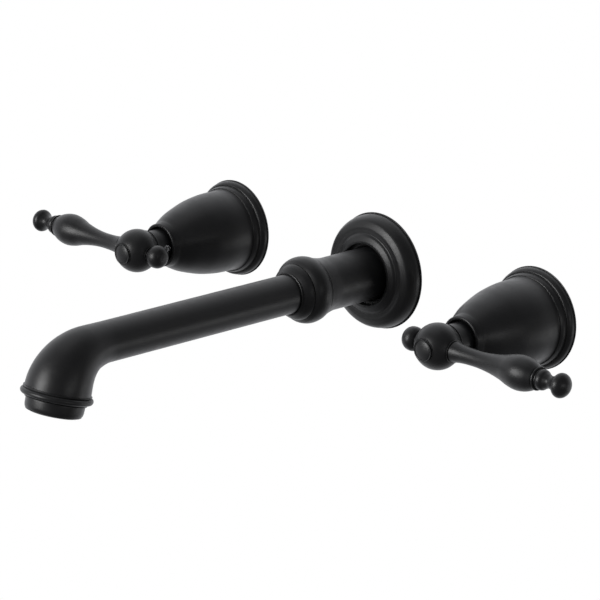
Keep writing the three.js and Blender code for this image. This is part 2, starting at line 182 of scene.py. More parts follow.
def make_world():
    """White to the eye. On the object, a dim glow that is bright from the left and behind."""
    world = bpy.data.worlds.new("studio")
    bpy.context.scene.world = world
    world.use_nodes = True
    nodes, links = world.node_tree.nodes, world.node_tree.links
    nodes.clear()
    output = nodes.new("ShaderNodeOutputWorld")
    seen = nodes.new("ShaderNodeBackground")
    felt = nodes.new("ShaderNodeBackground")
    mix = nodes.new("ShaderNodeMixShader")
    ray = nodes.new("ShaderNodeLightPath")
    place = nodes.new("ShaderNodeTexCoord")
    nearness = nodes.new("ShaderNodeVectorMath")
    glow = nodes.new("ShaderNodeMapRange")
    nearness.operation = "DOT_PRODUCT"
    nearness.inputs[1].default_value = direction(-130, -4)
    glow.interpolation_type = "SMOOTHSTEP"
    glow.inputs["From Min"].default_value = -0.25
    glow.inputs["To Min"].default_value = 0.1
    glow.inputs["To Max"].default_value = 1.12
    seen.inputs["Color"].default_value = WHITE
    felt.inputs["Color"].default_value = (0.96, 0.97, 1, 1)
    links.new(place.outputs["Generated"], nearness.inputs[0])
    links.new(nearness.outputs["Value"], glow.inputs["Value"])
    links.new(glow.outputs["Result"], felt.inputs["Strength"])
    links.new(ray.outputs["Is Camera Ray"], mix.inputs[0])
    links.new(felt.outputs[0], mix.inputs[1])
    links.new(seen.outputs[0], mix.inputs[2])
    links.new(mix.outputs[0], output.inputs["Surface"])
    bpy.context.scene.view_settings.view_transform = "Standard"


# ---- Materials ------------------------------------------------------------------------------
def empty_material(name):
    material = bpy.data.materials.new(name)
    material.use_nodes = True
    material.node_tree.nodes.clear()
    return material, material.node_tree.nodes, material.node_tree.links


def noise(nodes, links, place, scale, detail=3):
    texture = nodes.new("ShaderNodeTexNoise")
    texture.inputs["Scale"].default_value = scale
    texture.inputs["Detail"].default_value = detail
    links.new(place, texture.inputs["Vector"])
    return texture.outputs["Fac"]


def spread(nodes, links, value, low, high):
    """Maps a 0 to 1 texture value to a range."""
    node = nodes.new("ShaderNodeMapRange")
    node.inputs["From Min"].default_value = 0.3
    node.inputs["From Max"].default_value = 0.7
    node.inputs["To Min"].default_value = low
    node.inputs["To Max"].default_value = high
    links.new(value, node.inputs["Value"])
    return node.outputs["Result"]


def blend_colours(nodes, links, share, first, second):
    node = nodes.new("ShaderNodeMix")
    node.data_type = "RGBA"
    node.inputs["A"].default_value = (*first, 1)
    node.inputs["B"].default_value = (*second, 1)
    links.new(share, node.inputs["Factor"])
    return node.outputs["Result"]


def bump(nodes, links, height, distance, strength=1.0, normal=None):
    node = nodes.new("ShaderNodeBump")
    node.inputs["Distance"].default_value = distance
    node.inputs["Strength"].default_value = strength
    links.new(height, node.inputs["Height"])
    if normal is not None:
        links.new(normal, node.inputs["Normal"])
    return node.outputs["Normal"]


def finish(name, colours, roughness, metallic, grain, patch=9, extra=None):
    """A painted, cast or moulded surface: two close colours in soft patches, uneven gloss and a
    fine grain of the stated size and height. A third colour is a painted highlight on convex edges."""
    material, nodes, links = empty_material(name)
    output = nodes.new("ShaderNodeOutputMaterial")
    shader = nodes.new("ShaderNodeBsdfPrincipled")
    place = nodes.new("ShaderNodeTexCoord").outputs["Object"]
    shader.inputs["Metallic"].default_value = metallic
    links.new(shader.outputs[0], output.inputs["Surface"])

    patches = noise(nodes, links, place, 1 / (patch * MM))
    colour = blend_colours(nodes, links, patches, *colours[:2])
    # Painted highlight: convex edges, found by pointiness, blend toward the third colour.
    if len(colours) > 2:
        edges = nodes.new("ShaderNodeMapRange")
        edges.inputs["From Min"].default_value = 0.53
        edges.inputs["From Max"].default_value = 0.62
        edges.inputs["To Max"].default_value = 0.7
        geometry = nodes.new("ShaderNodeNewGeometry")
        links.new(geometry.outputs["Pointiness"], edges.inputs["Value"])
        edge_highlight = nodes.new("ShaderNodeMix")
        edge_highlight.data_type = "RGBA"
        edge_highlight.inputs["B"].default_value = (*colours[2], 1)
        links.new(edges.outputs["Result"], edge_highlight.inputs["Factor"])
        links.new(colour, edge_highlight.inputs["A"])
        colour = edge_highlight.outputs["Result"]
    links.new(colour, shader.inputs["Base Color"])

    size, height = grain
    gloss = noise(nodes, links, place, 1 / (patch * 0.4 * MM), 6)
    links.new(spread(nodes, links, gloss, *roughness), shader.inputs["Roughness"])
    relief = bump(nodes, links, noise(nodes, links, place, 1 / (size * MM), 2), height * MM)
    if extra:
        relief = extra(nodes, links, place, relief)
    links.new(relief, shader.inputs["Normal"])
    return material, shader


def lathe_marks(nodes, links, place, normal):
    """Fine rings that a cutting tool leaves on turned metal."""
    rings = nodes.new("ShaderNodeTexWave")
    rings.bands_direction = "Y"
    rings.inputs["Scale"].default_value = 900
    rings.inputs["Distortion"].default_value = 0.6
    rings.inputs["Detail"].default_value = 2
    links.new(place, rings.inputs["Vector"])
    return bump(nodes, links, rings.outputs["Fac"], 0.012 * MM, 0.6, normal)


def make_materials():
    # The third colour of the black paint and of the cast brass is a painted edge highlight.
    black, shader = finish("satin_black_paint",
                           [(0.012, 0.012, 0.0128), (0.0155, 0.0155, 0.0165), (0.03, 0.03, 0.031)],
                           (0.36, 0.43), 0.0, (0.5, 0.012))
    shader.inputs["IOR"].default_value = 1.5
    brass, _ = finish("cast_brass", [(0.56, 0.4, 0.17), (0.68, 0.5, 0.24), (0.8, 0.63, 0.34)],
                      (0.3, 0.48), 1.0, (0.8, 0.05))
    turned_brass, _ = finish("turned_brass", [(0.66, 0.48, 0.22), (0.74, 0.56, 0.28)],
                             (0.2, 0.32), 1.0, (0.3, 0.004), extra=lathe_marks)
    steel, _ = finish("zinc_plated_steel", [(0.52, 0.53, 0.54), (0.62, 0.62, 0.61)],
                      (0.25, 0.42), 1.0, (0.6, 0.01))
    polished, _ = finish("polished_steel", [(0.76, 0.76, 0.77), (0.84, 0.84, 0.84)],
                         (0.12, 0.2), 1.0, (0.6, 0.002))
    ceramic, _ = finish("alumina_ceramic", [(0.82, 0.8, 0.75), (0.87, 0.85, 0.8)],
                        (0.18, 0.28), 0.0, (0.4, 0.002))
    rubber, _ = finish("nitrile_rubber", [(0.012, 0.012, 0.012), (0.022, 0.022, 0.022)],
                       (0.6, 0.8), 0.0, (0.4, 0.02))
    plastic, _ = finish("moulded_acetal", [(0.7, 0.7, 0.68), (0.78, 0.78, 0.75)],
                        (0.35, 0.5), 0.0, (0.5, 0.006))
    return {"matte_black": black, "brass": turned_brass, "cast": brass, "steel": steel,
            "polished": polished, "ceramic": ceramic, "rubber": rubber, "plastic": plastic}


# ---- Outlines -------------------------------------------------------------------------------
HOLD = 0.12  # distance from a rounded corner to the point that keeps the face beside it flat


def spline(points, divisions):
    """A smooth curve through the points, as plain points of an outline."""
    ends = [points[0], *points, points[-1]]
    curve = []
    for a, b, c, d in zip(ends, ends[1:], ends[2:], ends[3:]):
        for i in range(divisions):
            t = i / divisions
            curve.append(tuple(
                0.5 * (2 * q + (r - p) * t + (2 * p - 5 * q + 4 * r - s) * t * t
                       + (3 * q - p - 3 * r + s) * t ** 3)
                for p, q, r, s in zip(a, b, c, d)))
    return curve + [tuple(points[-1])]


def arc(centre, radius, start, end, divisions):
    """Points on a round stretch. Angles are from the outward direction, in degrees."""
    steps = [math.radians(start + (end - start) * i / divisions) for i in range(divisions + 1)]
    return [(centre[0] + radius * math.sin(a), centre[1] + radius * math.cos(a)) for a in steps]


def stretch(radius, start, end, step=0.25):
    """Closely spaced points along a straight wall, where a thread or a hexagon is cut."""
    count = max(2, round(abs(end - start) / step))
    return [(radius, start + (end - start) * i / count) for i in range(count + 1)]


def rounded_corner(before, corner, after, radius):
    """Points round a corner. Known fault: slerp gives unit vectors, so the arc is 1 mm in radius
    whatever is stated, about the centre that the stated arc would have."""
    p, a, b = (Vector(v[:2]) for v in (corner, before, after))
    to_a, to_b = (a - p), (b - p)
    if min(to_a.length, to_b.length) < 1e-6:
        return [tuple(p)]
    room = 0.48 * min(to_a.length, to_b.length)
    to_a.normalize()
    to_b.normalize()
    half = to_a.angle(to_b) / 2
    reach = min(radius / math.tan(half), room)
    radius = reach * math.tan(half)
    centre = p + (to_a + to_b).normalized() * (radius / math.sin(half))
    start, end = p + to_a * reach - centre, p + to_b * reach - centre
    steps = max(2, math.ceil((math.pi - 2 * half) / math.radians(18)))
    points = []
    if room - reach > HOLD / 4:
        points.append(p + to_a * min(reach + HOLD, room))
    for i in range(steps + 1):
        points.append(centre + start.slerp(end, i / steps))
    if room - reach > HOLD / 4:
        points.append(p + to_b * min(reach + HOLD, room))
    return [tuple(v) for v in points]


def rounded(points, loop):
    """Rounds each corner that states a third value, and drops points that coincide."""
    result = []
    for i, point in enumerate(points):
        inner = loop or 0 < i < len(points) - 1
        if len(point) > 2 and inner:
            result += rounded_corner(points[i - 1], point, points[(i + 1) % len(points)], point[2])
        else:
            result.append(tuple(point[:2]))
    return [p for i, p in enumerate(result) if i == 0 or math.dist(p, result[i - 1]) > 1e-4]


def hexagon(apothem):
    """Limits a round section to a hexagon."""
    def limit(angle, radius, out):
        edge = apothem / math.cos((angle % (math.pi / 3)) - math.pi / 6)
        return min(radius, edge)
    return limit


def thread(start, end, depth, pitch):
    """Cuts a screw thread into an outside wall between two distances."""
    def cut(angle, radius, out):
        if not start < out < end:
            return radius
        run = min(1, (out - start) / pitch, (end - out) / pitch)
        turn = (out / pitch + angle / (2 * math.pi)) % 1
        return radius - depth * run * abs(2 * turn - 1)
    return cut


# ---- Mesh work ------------------------------------------------------------------------------
SEGMENTS = 120
SHARP = math.radians(32)


def new_object(name, vertices, faces):
    mesh = bpy.data.meshes.new(name)
    mesh.from_pydata(vertices, [], faces)
    made = bpy.data.objects.new(name, mesh)
    bpy.context.scene.collection.objects.link(made)
    tidy_mesh(made)
    return made


def tidy_mesh(made):
    """Faces out, smooth shading, and a crisp line only at real corners."""
    work = bmesh.new()
    work.from_mesh(made.data)
    bmesh.ops.remove_doubles(work, verts=work.verts, dist=1e-7)
    bmesh.ops.recalc_face_normals(work, faces=work.faces)
    for face in work.faces:
        face.smooth = True
    for edge in work.edges:
        edge.smooth = not (len(edge.link_faces) == 2 and edge.calc_face_angle(0) > SHARP)
    work.to_mesh(made.data)
    work.free()
    made.data.update()


def turned(name, points, shape=None, segments=SEGMENTS):
    """Turns an outline about its axis, which is the object's own Y. An outline that starts and
    ends off the axis closes on itself."""
    loop = points[0][0] > 1e-6 or points[-1][0] > 1e-6
    path = rounded(points, loop)
    vertices, faces, rows = [], [], []
    for radius, out in path:
        if radius < 1e-6:
            rows.append([len(vertices)] * segments)
            vertices.append((0, -out * MM, 0))
            continue
        rows.append(range(len(vertices), len(vertices) + segments))
        for j in range(segments):
            angle = 2 * math.pi * j / segments
            r = shape(angle, radius, out) if shape else radius
            vertices.append((r * MM * math.sin(angle), -out * MM, r * MM * math.cos(angle)))
    pairs = list(zip(rows, rows[1:])) + ([(rows[-1], rows[0])] if loop else [])
    for low, high in pairs:
        for j in range(segments):
            k = (j + 1) % segments
            corners = list(dict.fromkeys((low[j], low[k], high[k], high[j])))
            if len(corners) > 2:
                faces.append(corners)
    return new_object(name, vertices, faces)


def apply_modifiers(made):
    bpy.context.view_layer.update()
    graph = bpy.context.evaluated_depsgraph_get()
    mesh = bpy.data.meshes.new_from_object(made.evaluated_get(graph))
    made.modifiers.clear()
    made.data = mesh
    tidy_mesh(made)


def carve(made, *tools, operation="DIFFERENCE"):
    """Cuts tools out of a piece, or joins them to it, and removes the tools."""
    for tool in tools:
        step = made.modifiers.new("carve", "BOOLEAN")
        step.operation = operation
        step.solver = "MANIFOLD"
        step.object = tool
    apply_modifiers(made)
    for tool in tools:
        bpy.data.objects.remove(tool)
    return made


def cast(made, voxel, rounds):
    """Melts joined solids into one casting with soft inside corners."""
    remesh = made.modifiers.new("skin", "REMESH")
    remesh.mode = "VOXEL"
    remesh.voxel_size = voxel * MM
    soft = made.modifiers.new("soft", "SMOOTH")
    soft.factor = 0.5
    soft.iterations = rounds
    apply_modifiers(made)
    return made


def put(made, x=0.0, y=0.0, z=0.0, turn=None):
    """Places a piece for good: its mesh then lies in the row's frame."""
    matrix = Matrix.Translation((x, y, z))
    if turn is not None:
        matrix = matrix @ turn
    made.data.transform(matrix)
    made.data.update()
    return made


MATERIALS = {}


def stand_for(made, node, material=None):
    """The piece takes the CAD node's place, body and material slot. Only the black pieces show in
    each other, because all the rest is inside them or behind the wall."""
    made.data.materials.clear()
    made.data.materials.append(MATERIALS[material or SLOT_OF[node]])
    made.visible_glossy = SLOT_OF[node] == "matte_black"
    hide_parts(node)
    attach(made, BODY_OF[node])


def along_x(side):
    """Turns a piece so that its outline runs from the handle axis to one side."""
    return Matrix.Rotation(side * math.pi / 2, 4, "Z")


def bar(name, radius, start, end, segments=64):
    """A plain round bar, used as a cutting tool or a joined stub. It runs outwards."""
    return turned(name, [(0, start), (radius, start), (radius, end), (0, end)], segments=segments)


def extent(node):
    """Radius, back and front of a node that is round about the wall's normal, in millimetres."""
    low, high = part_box(node)
    return (high.x - low.x) / 2 / MM, -high.y / MM, -low.y / MM


# ---- Bells and what is under them -----------------------------------------------------------
def bell(name, x):
    rim, back, mouth = extent(name + "_escutcheon_bell")
    sleeve_radius = extent(name + "_escutcheon_sleeve")[0] + 0.5
    foot = [(27.2, back, 0.3), (rim, back, 0.4), *arc((26.6, 2.2), rim - 26.6, 90, 35, 8)]
    first_step = [(28.1, 5.15, 0.1), (27.7, 5.5, 0.3)]
    ovolo = arc((20.7, 5.8), 6.9, 90, 62, 6)
    second_step = [(26.4, 9.15, 0.1)]
    wall = spline([(26.2, 9.35), (25.95, 10), (25.75, 11.4), (25.7, 14), (25.65, 20), (25.2, 26),
                   (24, 34), (22.4, 40.5), (19.4, 50), (16.6, 56), (14.6, 59.5), (14.05, 61.2),
                   (13.5, 62.9), (13.1, 64)], 8)
    lip = [(12.85, mouth, 0.3), (12.4, mouth, 0.15)]
    inside = [(12.4, 52, 0.3), (sleeve_radius, 51, 0.2), (sleeve_radius, 38, 0.2),
              (21, 37, 1), (23.2, 27, 2), (23.2, 5, 0.6), (27.2, 5, 0.3)]
    moulding = first_step + ovolo + second_step
    piece = turned(name + "_bell_shell", foot + moulding + wall + lip + inside)
    stand_for(put(piece, x), name + "_escutcheon_bell")


def sleeve(name, x):
    radius, back, front = extent(name + "_escutcheon_sleeve")
    bore = 13.6
    outline = [(bore, back, 0.2), (radius, back, 0.5), *stretch(radius, back + 2, front - 1, 0.2),
               (radius - 0.6, front, 0.3), (bore, front, 0.3)]
    piece = turned(name + "_sleeve_threaded", outline, thread(back + 2, front - 1, 0.45, 1.2))
    stand_for(put(piece, x), name + "_escutcheon_sleeve")


def gasket(name, x):
    radius, back, front = extent(name + "_wall_gasket")
    inner = radius - 3
    outline = [(inner, back, 0.6), (radius, back, 0.6), (radius, front, 0.6), (inner, front, 0.6)]
    stand_for(put(turned(name + "_gasket_ring", outline), x), name + "_wall_gasket")


# ---- Handles --------------------------------------------------------------------------------
def ball_centre(name):
    """How far the lever's axis is out from the wall, in millimetres."""
    low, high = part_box(name + "_lever")
    return -(low.y + high.y) / 2 / MM


BALL, NECK, STUD, SET_SCREW = 13.5, 10.2, 2.95, 2.3  # radii
STUD_END = 7.8  # from the handle's axis


def hub(name, side, x):
    out = ball_centre(name)
    recess = extent(name + "_index_button")[0] + 0.05
    back = extent(name + "_handle_hub")[1]
    start = math.degrees(math.asin(recess / BALL))
    ball = arc((0, out), BALL, start + 0.6, 124.5, 40)
    mouth = [(recess, out + BALL * math.cos(math.radians(start)) - 0.05, 0.1)]
    neck = [(10.8, 75.5, 0.4), (10.5, 75.1, 0.6), (NECK, 73.5, 1), (NECK, back, 0.5)]
    bore = [(7, back, 0.4), (7, 77), (2.5, 77), (2.5, 88.3), (4.6, 88.3), (4.6, 92.6),
            (recess, 92.6, 0.2)]
    piece = turned(name + "_hub_turned", mouth + ball + neck + bore)
    tools = []
    for way, seat, radius in ((side, 12.2, 6.3), (-side, 12.7, 4.8)):
        for tool in (bar("seat", radius, seat, 20, 96), bar("socket", STUD + 0.4, 7.4, 14)):
            tools.append(put(tool, 0, -out * MM, 0, along_x(way)))
    low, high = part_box(name + "_set_screw")
    screw_hole = bar("screw_hole", SET_SCREW + 0.15, 6, 12)
    tools.append(put(screw_hole, 0, (low.y + high.y) / 2, (low.z + high.z) / 2, along_x(-side)))
    stand_for(put(carve(piece, *tools), x), name + "_handle_hub")


def lever(name, side, x):
    out = ball_centre(name)
    stud = [(0, STUD_END), (STUD, STUD_END, 0.3), (STUD, 12.8), (6.05, 12.8, 0.2)]
    grip = spline([(5.95, 14.3), (5.6, 16), (5.05, 20), (4.75, 27), (4.9, 34), (5.77, 42),
                   (7.3, 50), (9.05, 56), (9.98, 61.5), (9.65, 66), (8.5, 70), (6.75, 73.5)], 6)
    ring = [(6.3, 74.2, 0.3), (6.4, 75.3, 0.5), (5.7, 75.9, 0.3)]
    bead = arc((2.6, 78.1), 3.3, 118, 46, 12)
    cap = spline([(4.6, 81), (3.75, 83), (3.65, 84.3), (4.1, 86), (5.3, 87.8), (6.5, 89.2),
                  (7, 90.5), (6.95, 91.7), (6.4, 93.1), (5.2, 94.5), (3.4, 95.7), (1.7, 96.3),
                  (0, 96.5)], 5)
    piece = turned(name + "_lever_turned", stud + grip + ring + bead + cap)
    stand_for(put(piece, x, -out * MM, 0, along_x(side)), name + "_lever")


def finial(name, side, x):
    out = ball_centre(name)
    stud = [(0, STUD_END), (STUD, STUD_END, 0.3), (STUD, 13), (4.45, 13, 0.2)]
    knob = spline([(4.4, 13.6), (4.45, 14.2), (5.7, 15.1), (6.85, 16.9), (7.1, 18.9), (6.7, 21),
                   (5.4, 22.9), (3.2, 24.0), (0, 24.35)], 6)
    piece = turned(name + "_finial_turned", stud + knob)
    stand_for(put(piece, x, -out * MM, 0, along_x(-side)), name + "_finial")


def index_button(name, x):
    radius, back, front = extent(name + "_index_button")
    edge = 95.45
    dome = [(radius * math.cos(a), edge + (front - edge) * math.sin(a))
            for a in map(math.radians, range(8, 90, 8))]
    outline = [(0, back), (radius, back, 0.3), (radius, edge - 0.1, 0.15), *dome, (0, front)]
    piece = turned(name + "_button_domed", outline)
    stand_for(put(piece, x), name + "_index_button")


def socket_screw(name, node, head, shank, lengths, x=0.0, y=0.0, z=0.0, turn=None, flat=False):
    """A screw with a hexagon socket. lengths are the tip, the head's seat and the head's top. A
    flat screw has no head."""
    tip, seat, top = lengths
    socket = head * 0.5
    depth = top - (1.7 if flat else min(2.0, (top - seat) * 0.65))
    outline = [(0, tip), (shank * 0.7, tip), (shank, tip + 0.6)]
    if flat:
        outline += stretch(shank, tip + 0.7, top - 0.4, 0.1) + [(shank - 0.25, top, 0.1)]
        threads = thread(tip + 0.7, top - 0.5, 0.16, 0.7)
    else:
        outline += stretch(shank, tip + 0.8, seat - 0.4, 0.15)
        outline += [(shank, seat), (head, seat, 0.2), (head, top, 0.7)]
        threads = thread(tip + 0.8, seat - 1.5, 0.3, 0.8)
    socket_shape = hexagon(socket)

    def shape(angle, radius, out):
        if radius < socket * 1.2 and out > depth - 0.1:
            return socket_shape(angle, radius, out)
        return threads(angle, radius, out) if radius <= shank else radius

    outline += [(socket * 1.15, top, 0.1), (socket * 1.15, depth), (0, depth)]
    piece = turned(name, outline, shape, 48)
    stand_for(put(piece, x, y, z, turn), node, "polished")


def handle_screws(name, side, x):
    radius, back, front = extent(name + "_handle_screw")
    socket_screw(name + "_handle_screw_socket", name + "_handle_screw", radius, 2.1,
                 (back, 88.6, front), x)
    low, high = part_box(name + "_set_screw")
    ends = sorted(abs(v - x) / MM for v in (low.x, high.x))
    socket_screw(name + "_set_screw_socket", name + "_set_screw", SET_SCREW, SET_SCREW,
                 (ends[0], ends[1], ends[1]), x, (low.y + high.y) / 2, (low.z + high.z) / 2,
                 along_x(-side), flat=True)


def adapter(name, x):
    radius, back, front = extent(name + "_stem_adapter")
    flutes = 24

    def splined(angle, r, out):
        if r == radius and out > 56:
            return r - 0.25 * (1 + math.cos(flutes * angle)) / 2
        return r

    outline = [(4.5, back, 0.2), (radius, back, 0.3), (radius, 55.5), (radius, 56.5),
               (radius, front, 0.1), (2.5, front, 0.2), (2.5, 64), (1.2, 63), (1.2, 32), (4.5, 31)]
    stand_for(put(turned(name + "_adapter_splined", outline, splined), x), name + "_stem_adapter")


# ---- Cartridges -----------------------------------------------------------------------------
def stem(name, x):
    _, back, front = extent(name + "_cartridge_stem")
    shaft, groove, foot, flutes = 4, 2.9, 8.2, 20

    def splined(angle, r, out):
        if r == shaft and out > 12:
            return r - 0.2 * (1 + math.cos(flutes * angle))
        return r

    outline = [(0, front), (3.4, front), (shaft, front - 0.8), (shaft, 12.5), (shaft, 11.5),
               (shaft, -7, 0.1), (groove, -7, 0.2), (groove, -9.4, 0.2), (shaft, -9.4, 0.1),
               (shaft, -36.3, 0.4), (foot, -36.3, 0.3), (foot, -38.3, 0.3), (3, -38.3, 0.3),
               (3, back, 0.3), (0, back)]
    piece = turned(name + "_stem_splined", outline, splined, 120)
    stand_for(put(piece, x), name + "_cartridge_stem")


def rings(name, x):
    """The round-section ring on the stem and the lipped seal at the cartridge's foot."""
    radius, back, front = extent(name + "_stem_o_ring")
    thickness = 0.45
    section = arc((radius - thickness, (back + front) / 2), thickness, 0, 337.5, 15)
    stand_for(put(turned(name + "_stem_ring_round", section), x), name + "_stem_o_ring")
    radius, back, front = extent(name + "_seat_seal")
    outline = [(4, back, 0.5), (5.4, back, 0.5), (6, back + 0.7, 0.4), (7, back, 0.5),
               (radius, back + 0.2, 0.4), (radius, front, 0.3), (4, front, 0.3)]
    stand_for(put(turned(name + "_seal_lipped", outline), x), name + "_seat_seal")


def discs(name, x):
    """Lapped ceramic discs. Their ports cross at rest, which shuts the water off."""
    for kind, turn, socket in (("moving", 0, 3.4), ("fixed", math.pi / 2, 0)):
        node = f"{name}_{kind}_disc"
        radius, back, front = extent(node)
        blank = [(0, back), (radius, back, 0.3), (radius, front, 0.3), (0, front)]
        piece = turned(f"{name}_{kind}_disc_lapped", blank, segments=96)
        tools = []
        for way in (-1, 1):
            port = bar("port", 1.8, back - 1, front + 1, 32)
            away = 6 * MM * way
            tools.append(put(port, away * math.cos(turn), 0, away * math.sin(turn)))
        if socket:
            tools.append(bar("socket", socket, back - 1, front + 1, 48))
        stand_for(put(carve(piece, *tools), x), node)


def housing(name, x):
    radius, back, front = extent(name + "_cartridge_housing")
    nose, shoulder, bore, guide = 9, -14.3, 8.9, 4.6
    outline = [(nose, front, 0.4), *stretch(nose, front - 1, -13, 0.2), (nose, shoulder, 0.2),
               (radius, shoulder, 0.4), (radius, back, 0.3), (bore, back, 0.2), (bore, -36, 0.3),
               (guide, -36, 0.1), (guide, front, 0.3)]
    piece = turned(name + "_housing_turned", outline, thread(-13, front - 1, 0.35, 1))
    window = put(bar("window", 3, -12, 12, 48), 0, 41 * MM, 0, along_x(1))
    stand_for(put(carve(piece, window), x), name + "_cartridge_housing")


def nut(name, node, apothem, hole, ends, chamfer=1.4, x=0.0, y=0.0, turn=None):
    """A hexagon nut with its corners turned off at both ends. hole is its radius. A union nut
    adds the place where its hole steps and the wider radius beyond."""
    start, end = ends
    corner = apothem / math.cos(math.pi / 6)
    rise = chamfer * 0.58
    face = apothem * 0.97
    outline = [(hole[0], start, 0.3), (face, start), *stretch(corner, start + rise, end - rise, 1.0),
               (face, end), (hole[-1], end, 0.3)]
    if len(hole) > 1:
        outline += [(hole[-1], hole[1], 0.2), (hole[0], hole[1], 0.2)]
    limit = hexagon(apothem)

    def shape(angle, radius, out):
        return limit(angle, radius, out) if radius > apothem else radius

    dense = []
    for a, b in zip(outline, outline[1:]):
        dense.append(a)
        if min(a[0], b[0]) >= apothem * 0.96 and abs(a[0] - b[0]) > 0.1:
            dense += [(a[0] + (b[0] - a[0]) * i / 8, a[1] + (b[1] - a[1]) * i / 8)
                      for i in range(1, 8)]
    dense.append(outline[-1])
    stand_for(put(turned(name, dense, shape, 120), x, y, 0, turn), node)


def bonnet_nut(name, x):
    _, back, front = extent(name + "_bonnet_nut")
    nut(name + "_bonnet_hexagon", name + "_bonnet_nut", 11, (9.35,), (back, front), x=x)


# ---- Rough-in behind the wall ----------------------------------------------------------------
DOWN = Matrix.Rotation(math.pi / 2, 4, "X")
INLET = 0.0645  # how far the supply pipes' axes are behind the wall, in metres
WATERWAY = 6.5  # radius of the bores between the sockets
PITCH = 1.2  # of the threads on the fittings


def downward(piece):
    """Turns a piece so that its outline runs down, on a supply pipe's axis."""
    return put(piece, 0, INLET, 0, DOWN)


def valve_body():
    """The hot valve's casting with its machined nose, back and ends."""
    low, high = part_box("hot_valve_body")
    back, foot, reach = -high.y / MM, low.z / MM, (high.x - AXIS_X["hot"]) / MM
    cross = sum(v.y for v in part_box("hot_union_nut")) / 2
    skin = carve(
        turned("barrel", [(0, back + 0.8), (17.4, back + 0.8, 2), (17.4, -30, 2), (0, -30)]),
        bar("neck", 12.9, -34, -27.8, 96),
        downward(bar("inlet_boss", 12, 0, -foot - 11, 96)),
        put(bar("outlet_boss", 10.2, 0, 26, 96), 0, cross, 0, along_x(1)),
        operation="UNION",
    )
    skin = cast(skin, 0.7, 8)
    nose = turned("nose", [(0, -33), (13.1, -33), *stretch(13.1, -28.6, -14.8, 0.2),
                           (12.4, -14, 0.2), (0, -14)], thread(-28.6, -14.8, 0.4, PITCH), 96)
    ring_front = turned("ring_front", [(0, -36), (18, -36, 0.6), (18, -29.2, 0.8), (0, -29.2)])
    ring_back = turned("ring_back", [(0, back), (18, back, 0.6), (18, back + 5, 0.6),
                                     (0, back + 5)])
    end = turned("inlet_end", [(0, -foot - 13), (12.5, -foot - 13, 0.5), (12.5, -foot, 0.8),
                               (0, -foot)])
    outlet = turned("outlet_end", [(0, 22), (9.9, 22), *stretch(9.9, 26.6, reach - 0.6, 0.2),
                                   (9.4, reach, 0.2), (0, reach)],
                    thread(26.6, reach - 0.6, 0.35, PITCH), 96)
    body = carve(skin, nose, ring_front, ring_back, downward(end),
                 put(outlet, 0, cross, 0, along_x(1)), operation="UNION")
    holes = [bar("bore", 10.9, -57, -13, 96), bar("seat", 5, -64.5, -56, 48),
             downward(bar("inlet_bore", WATERWAY, -1, 47)),
             downward(bar("inlet_socket", 9.2, 30, 47, 96)),
             put(bar("outlet_bore", WATERWAY, 8, 39), 0, cross, 0, along_x(1))]
    for way in (-1, 1):
        screw_hole = bar("screw_hole", 2.6, back - 1, back + 8, 48)
        holes.append(put(screw_hole, 12.5 * way * MM, 0, 6 * MM))
    body = carve(body, *holes)
    body.name = "hot_valve_casting"
    return body


def valve_bodies():
    """The cold valve mirrors the hot one."""
    body = valve_body()
    twin = body.copy()
    twin.data = body.data.copy()
    twin.name = "cold_valve_casting"
    bpy.context.scene.collection.objects.link(twin)
    twin.data.transform(Matrix.Scale(-1, 4, (1, 0, 0)))
    tidy_mesh(twin)
    stand_for(put(body, AXIS_X["hot"]), "hot_valve_body", "cast")
    stand_for(put(twin, AXIS_X["cold"]), "cold_valve_body", "cast")


def center_tee():
    """The casting between the cross pipes. Gives back how far their axis is behind the wall."""
    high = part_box("center_tee")[1]
    half = high.x / MM
    cross = (high.y / MM - 12) * MM
    skin = carve(
        put(bar("run", 11.3, -half + 6, half - 6, 96), 0, cross, 0, along_x(1)),
        bar("branch", 12.6, -cross / MM, -19, 96),
        operation="UNION",
    )
    skin = cast(skin, 0.6, 8)
    ends = []
    for way in (-1, 1):
        end = turned("run_end", [(0, half - 8), (12, half - 8, 0.6), (12, half, 0.8), (0, half)])
        ends.append(put(end, 0, cross, 0, along_x(way)))
    mouth = turned("mouth", [(0, -22), (13.5, -22, 0.6), (13.5, -14, 0.8), (0, -14)])
    body = carve(skin, mouth, *ends, operation="UNION")
    tools = [put(bar("socket", 8.4, 13, half + 1), 0, cross, 0, along_x(way)) for way in (-1, 1)]
    tools += [put(bar("run_bore", WATERWAY, -14, 14), 0, cross, 0, along_x(1)),
              bar("branch_bore", 7, -cross / MM, -34), bar("branch_socket", 10.8, -35, -13, 96)]
    body = carve(body, *tools)
    body.name = "center_tee_casting"
    stand_for(body, "center_tee", "cast")
    return cross


def nipple():
    radius, back, front = extent("spout_nipple")
    bore, waist, end = 8, radius - 0.4, radius - 0.5
    outline = [(bore, back, 0.3), (end, back, 0.2), *stretch(radius, back + 1, -17, 0.2),
               (waist, -16, 0.3), (waist, 14, 0.3), *stretch(radius, 15, front - 1, 0.2),
               (end, front, 0.2), (bore, front, 0.3)]
    lower, upper = thread(back + 1, -17, 0.4, PITCH), thread(15, front - 1, 0.4, PITCH)

    def shape(angle, radius, out):
        return (lower if out < 0 else upper)(angle, radius, out)

    stand_for(turned("spout_nipple_threaded", outline, shape), "spout_nipple")


